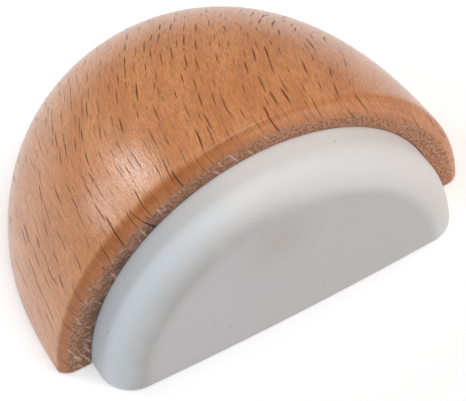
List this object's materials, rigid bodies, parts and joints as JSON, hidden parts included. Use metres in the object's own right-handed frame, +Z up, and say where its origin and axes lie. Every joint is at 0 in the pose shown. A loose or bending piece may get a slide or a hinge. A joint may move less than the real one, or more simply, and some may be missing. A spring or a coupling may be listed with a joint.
{
  "type": "floor door stop",
  "caption": "Half-round floor door stop: a turned wooden dome with a moulded rubber buffer set in its flat front and a slanted fixing screw behind it.",
  "frame": {"origin": "on the floor, below the middle of the bounding box", "axes": "+Z up from the floor, -Y towards the door that strikes the buffer, +X across the stop"},
  "size_m": [0.07, 0.0542, 0.0339],
  "materials": {
    "varnished_beech": "beech with clear satin varnish, bare on the front face, underside and recess",
    "white_rubber": "matt off-white moulded rubber",
    "zinc_steel": "zinc-plated steel"
  },
  "bodies": {
    "body": {"wood_body": "varnished_beech"},
    "buffer": {"rubber_buffer": "white_rubber"},
    "screw": {"floor_screw": "zinc_steel"}
  },
  "joints": [
    {"name": "buffer_pull", "type": "slide", "parent": "body", "child": "buffer", "axis": [0, -1, 0], "range_m": [0, 0.02]},
    {"name": "screw_drive", "type": "slide", "parent": "body", "child": "screw", "axis": [0, 0.7071, -0.7071], "range_m": [0, 0.0199]}
  ]
}
